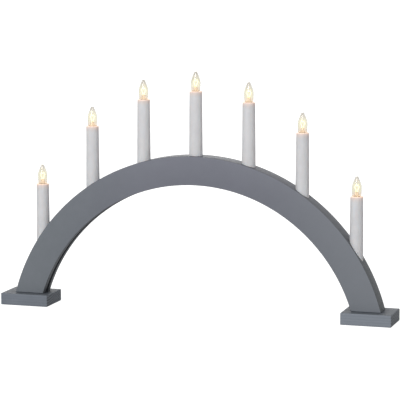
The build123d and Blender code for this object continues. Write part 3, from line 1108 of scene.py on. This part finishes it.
def add_slot_cutter(place):
    """A block with rounded ends, half of it above the holder's foot and half below."""
    clear_selection()
    bpy.ops.mesh.primitive_cube_add(size=1, location=(place, 0, -HOLDER_LENGTH))
    bpy.ops.transform.resize(value=(SLOT_WIDTH, SLOT_LENGTH, 2 * SLOT_LENGTH))
    cutter = name_new("slot_cutter")
    bpy.ops.object.transform_apply(location=True, rotation=True, scale=True)
    bpy.ops.object.mode_set(mode="EDIT")
    pick(cutter, "EDGE", lambda at: abs(at.z + HOLDER_LENGTH) < MM)
    bpy.ops.mesh.bevel(offset=SLOT_ROUND, segments=SLOT_ROUND_STEPS)
    bpy.ops.object.mode_set(mode="OBJECT")
    return cutter


drill(holder, [add_slot_cutter(-SLOT_PLACE), add_slot_cutter(SLOT_PLACE)])
smooth(holder)
store_depth(holder)
holder.data.materials.append(holder_plastic)
copy_to_candles(holder, "root", "lampholder_{}")
print("Lampholders:", len(candle_places))

# %% [markdown]
# The lamp's glass is blown, so its outline is one soft curve: out of the cap, a slight
# belly, a long shoulder and a blunt tip. Only the outside is drawn. A Solidify modifier
# gives it its wall, which matters for clear glass, because light bends at both faces.
# Inside stands the stem, a flared glass tube that holds the filament.

# %% Glass of the lamp
GLASS_WALL = 0.55 * MM
GLASS_STEPS = 56
NECK_RADIUS = 4.4 * MM
NECK_FOOT = -3.0 * MM
CAP_TOP = -1.2 * MM
NECK = (6.85 * MM, 1.2 * MM)
BELLY = (7.35 * MM, 12.68 * MM)
SHOULDER = (5.3 * MM, 21.75 * MM)
TIP_EDGE = (2.0 * MM, 29.2 * MM)
TIP = (0, 30.2 * MM)


def blow_glass():
    """The glass, from curves that each have a start, two handles, an end and a count."""
    curves = [
        ((NECK_RADIUS, CAP_TOP), (NECK_RADIUS, 0), (NECK[0], 0), NECK, 8),
        (NECK, (NECK[0], 5 * MM), (BELLY[0], 8 * MM), BELLY, 9),
        (BELLY, (BELLY[0], 16 * MM), (6.4 * MM, 19.2 * MM), SHOULDER, 9),
        (SHOULDER, (4.4 * MM, 24.0 * MM), (3.1 * MM, 27.6 * MM), TIP_EDGE, 7),
        (TIP_EDGE, (1.5 * MM, 29.9 * MM), (0.9 * MM, TIP[1]), TIP, 6),
    ]
    outline = [(NECK_RADIUS, NECK_FOOT), (NECK_RADIUS, CAP_TOP)]
    for curve in curves:
        outline += bend_points(*curve)[1:]
    glass = turn_on_lathe("glass", outline, GLASS_STEPS)
    add_modifier(glass, "SOLIDIFY", thickness=GLASS_WALL, offset=-1)
    glass.data.materials.append(lamp_glass)
    return glass


glass = blow_glass()
print("Glass faces:", len(glass.data.polygons))

# %% Stem of the lamp
STEM_FOOT_RADIUS = 3.7 * MM
STEM_TOP_RADIUS = 2.4 * MM
STEM_WAIST = 4.5 * MM
STEM_TOP = 7.0 * MM
STEM_EDGE = 0.3 * MM
STEM_POINTS = 9
STEM_STEPS = 32


def draw_stem():
    inside = NECK_RADIUS - GLASS_WALL
    flare = bend_points(
        (inside, NECK_FOOT + 2 * GLASS_WALL),
        (STEM_FOOT_RADIUS, STEM_WAIST),
        (STEM_TOP_RADIUS, STEM_WAIST),
        (STEM_TOP_RADIUS, STEM_TOP - MM),
        STEM_POINTS,
    )
    outline = [
        (0, NECK_FOOT + GLASS_WALL),
        (inside, NECK_FOOT + GLASS_WALL),
        *flare,
        (STEM_TOP_RADIUS - STEM_EDGE, STEM_TOP),
        (0, STEM_TOP),
    ]
    stem = turn_on_lathe("stem", outline, STEM_STEPS)
    stem.data.materials.append(stem_glass)
    return stem


stem = draw_stem()
take(glass)
stem.select_set(True)
bpy.ops.object.join()
smooth(glass, angle=40)
store_depth(glass)
copy_to_candles(glass, "lamp_{}", "lamp_glass_{}")
print("Lamp glasses:", len(candle_places))

# %% [markdown]
# The cap's thread is rolled into thin brass. A thread is a wave that is carried round
# and up at the same time, and that is what the Screw modifier does: one wave of the
# profile is turned several times round the axis and rises one pitch at each turn. Plain
# bands above and below hide the thread's ragged ends. All three are drawn as surfaces,
# and a Solidify modifier then gives each the wall of the sheet brass.

# %% Thread of the cap
CAP_RADIUS = 4.75 * MM
CAP_STEPS = 48
THREAD_PITCH = 1.814 * MM
THREAD_DEPTH = 0.4 * MM
THREAD_TURNS = 4
THREAD_FOOT = -9.6 * MM
WAVE_STEPS = 8


def make_thread():
    """One wave of a rolled thread, screwed up round the Z axis."""
    profile = []
    for step in range(WAVE_STEPS + 1):
        turn = 2 * pi * step / WAVE_STEPS
        radius = CAP_RADIUS - THREAD_DEPTH / 2 * (1 - cos(turn))
        profile.append((radius, 0, THREAD_FOOT + THREAD_PITCH * step / WAVE_STEPS))
    thread = draw_outline("cap", profile)
    bpy.ops.object.mode_set(mode="OBJECT")
    add_modifier(
        thread,
        "SCREW",
        angle=2 * pi,
        screw_offset=THREAD_PITCH,
        iterations=THREAD_TURNS,
        steps=CAP_STEPS,
        render_steps=CAP_STEPS,
        use_merge_vertices=True,
        merge_threshold=SEAM_DISTANCE,
    )
    return thread


cap = make_thread()
print("Thread faces:", len(cap.data.polygons))

# %% Bands of the cap
CAP_FOOT = -10.5 * MM
CAP_FOOT_ROUND = 0.5 * MM
CAP_LIP_RADIUS = 3.0 * MM
CAP_LIP_ROUND = 0.1 * MM
BAND_TUCK = 0.1 * MM
BAND_SINK = 0.05 * MM
TUCKED_TURNS = 0.2


def make_bands():
    """The plain bands, each with one end tucked in behind the thread."""
    crest = CAP_RADIUS - BAND_SINK
    root = CAP_RADIUS - THREAD_DEPTH
    top_outline = [
        (root - BAND_TUCK, THREAD_FOOT + THREAD_PITCH * (THREAD_TURNS - TUCKED_TURNS)),
        (crest, THREAD_FOOT + THREAD_PITCH * THREAD_TURNS),
        (crest, CAP_TOP - CAP_LIP_ROUND),
        (crest - CAP_LIP_ROUND, CAP_TOP),
    ]
    foot_outline = [
        (root - BAND_TUCK, THREAD_FOOT + THREAD_PITCH * (1 + TUCKED_TURNS)),
        (root - BAND_SINK, THREAD_FOOT),
        (root - BAND_SINK, CAP_FOOT + CAP_FOOT_ROUND),
        (root - CAP_FOOT_ROUND, CAP_FOOT),
        (CAP_LIP_RADIUS, CAP_FOOT),
    ]
    top_band = turn_on_lathe("top_band", top_outline, CAP_STEPS)
    foot_band = turn_on_lathe("foot_band", foot_outline, CAP_STEPS)
    return [top_band, foot_band]


bands = make_bands()
print("Band faces:", sum(len(band.data.polygons) for band in bands))

# %% Threaded lamp caps
SHEET_WALL = 0.2 * MM


def give_wall(piece):
    """Turns a surface's faces outwards and gives it the wall of the sheet, inwards."""
    take(piece)
    bpy.ops.object.mode_set(mode="EDIT")
    bpy.ops.mesh.select_all(action="SELECT")
    bpy.ops.mesh.remove_doubles(threshold=WELD_DISTANCE)
    bpy.ops.mesh.normals_make_consistent(inside=False)
    bpy.ops.object.mode_set(mode="OBJECT")
    add_modifier(piece, "SOLIDIFY", thickness=SHEET_WALL, offset=-1)


for part in (cap, *bands):
    give_wall(part)
take(cap)
for band in bands:
    band.select_set(True)
bpy.ops.object.join()
smooth(cap, angle=60)
cap.data.materials.append(cap_brass)
copy_to_candles(cap, "lamp_{}", "lamp_cap_{}")
print("Lamp caps:", len(candle_places))

# %% [markdown]
# The object stands on a plain pale floor that runs out of sight. The picture's ground is
# pure white, but a floor has to keep the object's shadow. So the floor is a light grey
# that the lamps light, and shines besides: almost white to the camera, and less where
# glass and metal show it. The world is white to the camera, in reflections and through
# glass, and a soft grey as a light.

# %% Floor
FLOOR_SIZE = 30
FLOOR_SHINE = 0.88
MIRRORED_SHINE = 0.38


def make_floor():
    clear_selection()
    bpy.ops.mesh.primitive_plane_add(size=FLOOR_SIZE, location=(0, 0, 0))
    floor = name_new("floor")
    white = Finish("floor_white")
    rays = white.add("ShaderNodeLightPath").outputs
    direct = white.times(rays["Is Camera Ray"], FLOOR_SHINE)
    bounced = white.larger(rays["Is Glossy Ray"], rays["Is Transmission Ray"])
    mirrored = white.times(bounced, MIRRORED_SHINE)
    tone = white.blend(white.noise(3, 3), shade(176, 176, 176), shade(180, 180, 180))
    white.surface(
        Base_Color=tone,
        Roughness=0.9,
        Emission_Color=shade(255, 255, 255),
        Emission_Strength=white.larger(direct, mirrored),
    )
    floor.data.materials.append(white.material)


make_floor()
print("Floor width:", FLOOR_SIZE)

# %% World
WORLD_LIGHT = 0.38


def make_world():
    world = bpy.data.worlds.new("studio")
    world.use_nodes = True
    scene.world = world
    sky = Tree(world.node_tree)
    rays = sky.add("ShaderNodeLightPath").outputs
    seen = sky.larger(rays["Is Camera Ray"], rays["Is Glossy Ray"])
    seen = sky.larger(seen, rays["Is Transmission Ray"])
    background = sky.tree.nodes["Background"]
    sky.feed(background.inputs["Strength"], sky.ramp(seen, 0.0, 1.0, WORLD_LIGHT, 1.0))
    background.inputs["Color"].default_value = (1, 1, 1, 1)


make_world()
print("World light:", WORLD_LIGHT)

# %% [markdown]
# Two large soft boxes light it. The key is up in front and a little to the left, so that
# fronts are bright and the faces that look right are darker, as in the photograph. A
# weaker one behind keeps the back from going dark. The world fills in the rest.

# %% Lamps
LAMP_AIM = Vector((0, 0, 0.15))


def add_soft_box(name, place, size, power):
    """A square lamp that looks at the middle of the object."""
    data = bpy.data.lights.new(name, "AREA")
    data.size = size
    data.energy = power
    lamp = bpy.data.objects.new(name, data)
    scene.collection.objects.link(lamp)
    turn = (LAMP_AIM - Vector(place)).to_track_quat("-Z", "Y").to_matrix().to_4x4()
    lamp.matrix_world = Matrix.Translation(place) @ turn


add_soft_box("key", place=(-0.2, -4.3, 3.2), size=2.4, power=168)
add_soft_box("back", place=(-1.6, 4.2, 2.4), size=2.4, power=48)
scene.view_settings.view_transform = "Standard"
